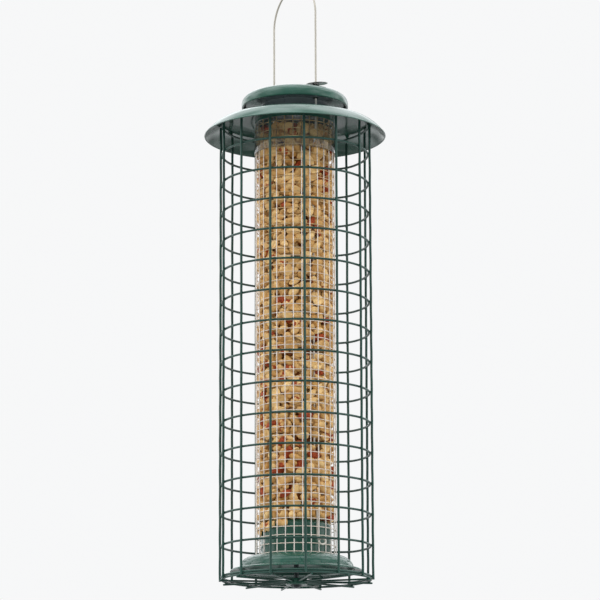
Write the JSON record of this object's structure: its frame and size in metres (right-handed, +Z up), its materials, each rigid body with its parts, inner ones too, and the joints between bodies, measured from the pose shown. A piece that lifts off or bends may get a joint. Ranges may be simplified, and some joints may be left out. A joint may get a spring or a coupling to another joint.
{
  "type": "hanging bird feeder",
  "caption": "Hanging nut feeder: a wire-mesh tube of peanuts inside a round welded wire cage, with a roof and a lid that slides up the hanging wire.",
  "frame": {"origin": "inside the crown of the hanging wire, where a hook bears", "axes": "+Z up along the feeder's axis; the two legs of the hanging wire are at +X and -X, the one with the lid lock at +X"},
  "size_m": [0.1912, 0.1912, 0.6426],
  "materials": {
    "green_wire": "dark green powder coat on welded steel wire, semi-gloss",
    "green_sheet": "dark green powder coat on pressed sheet steel, glossy",
    "galvanised_wire": "bright galvanised steel wire",
    "bright_steel": "zinc-plated steel, slightly dulled",
    "dark_plastic": "near-black moulded plastic, satin",
    "clear_plastic": "clear plastic sheet, glossy",
    "peanuts": "shelled peanuts, tan with dark red skins, dry and matte"
  },
  "bodies": {
    "feeder_body": {"cage_ring_01": "green_wire", "cage_ring_02": "green_wire", "cage_ring_03": "green_wire", "cage_ring_04": "green_wire", "cage_ring_05": "green_wire", "cage_ring_06": "green_wire", "cage_ring_07": "green_wire", "cage_ring_08": "green_wire", "cage_ring_09": "green_wire", "cage_ring_10": "green_wire", "cage_ring_11": "green_wire", "cage_ring_12": "green_wire", "cage_ring_13": "green_wire", "cage_ring_14": "green_wire", "cage_ring_15": "green_wire", "cage_ring_16": "green_wire", "cage_upright_01": "green_wire", "cage_upright_02": "green_wire", "cage_upright_03": "green_wire", "cage_upright_04": "green_wire", "cage_upright_05": "green_wire", "cage_upright_06": "green_wire", "cage_upright_07": "green_wire", "cage_upright_08": "green_wire", "cage_upright_09": "green_wire", "cage_upright_10": "green_wire", "cage_upright_11": "green_wire", "cage_upright_12": "green_wire", "cage_upright_13": "green_wire", "cage_upright_14": "green_wire", "floor_spoke_01": "green_wire", "floor_spoke_02": "green_wire", "floor_spoke_03": "green_wire", "floor_spoke_04": "green_wire", "floor_spoke_05": "green_wire", "floor_spoke_06": "green_wire", "floor_spoke_07": "green_wire", "floor_spoke_08": "green_wire", "floor_spoke_09": "green_wire", "floor_spoke_10": "green_wire", "floor_spoke_11": "green_wire", "floor_spoke_12": "green_wire", "floor_rim": "green_wire", "floor_hub": "green_sheet", "base_bell": "green_sheet", "tube_plug": "green_sheet", "tube_collar": "green_sheet", "roof_baffle": "green_sheet", "mesh_tube": "galvanised_wire", "bail_wire": "galvanised_wire", "base_bolt": "bright_steel", "base_nut": "bright_steel", "clear_sleeve": "clear_plastic", "peanut_fill": "peanuts"},
    "lid": {"lid_dome": "green_sheet", "lid_liner": "green_sheet", "lid_guide_front": "dark_plastic", "lid_guide_rear": "dark_plastic", "lock_stem": "dark_plastic"},
    "lock": {"lock_plate": "bright_steel"}
  },
  "joints": [
    {"name": "lid_slide", "type": "slide", "parent": "feeder_body", "child": "lid", "axis": [0, 0, 1], "range_m": [0, 0.07]},
    {"name": "lock_tilt", "type": "hinge", "parent": "lid", "child": "lock", "pos_m": [0.03729, -0.00298, -0.11617], "axis": [0.829, -0.5592, 0], "range_deg": [-3.5, 5], "stiffness_Nm_per_rad": 0.05}
  ]
}
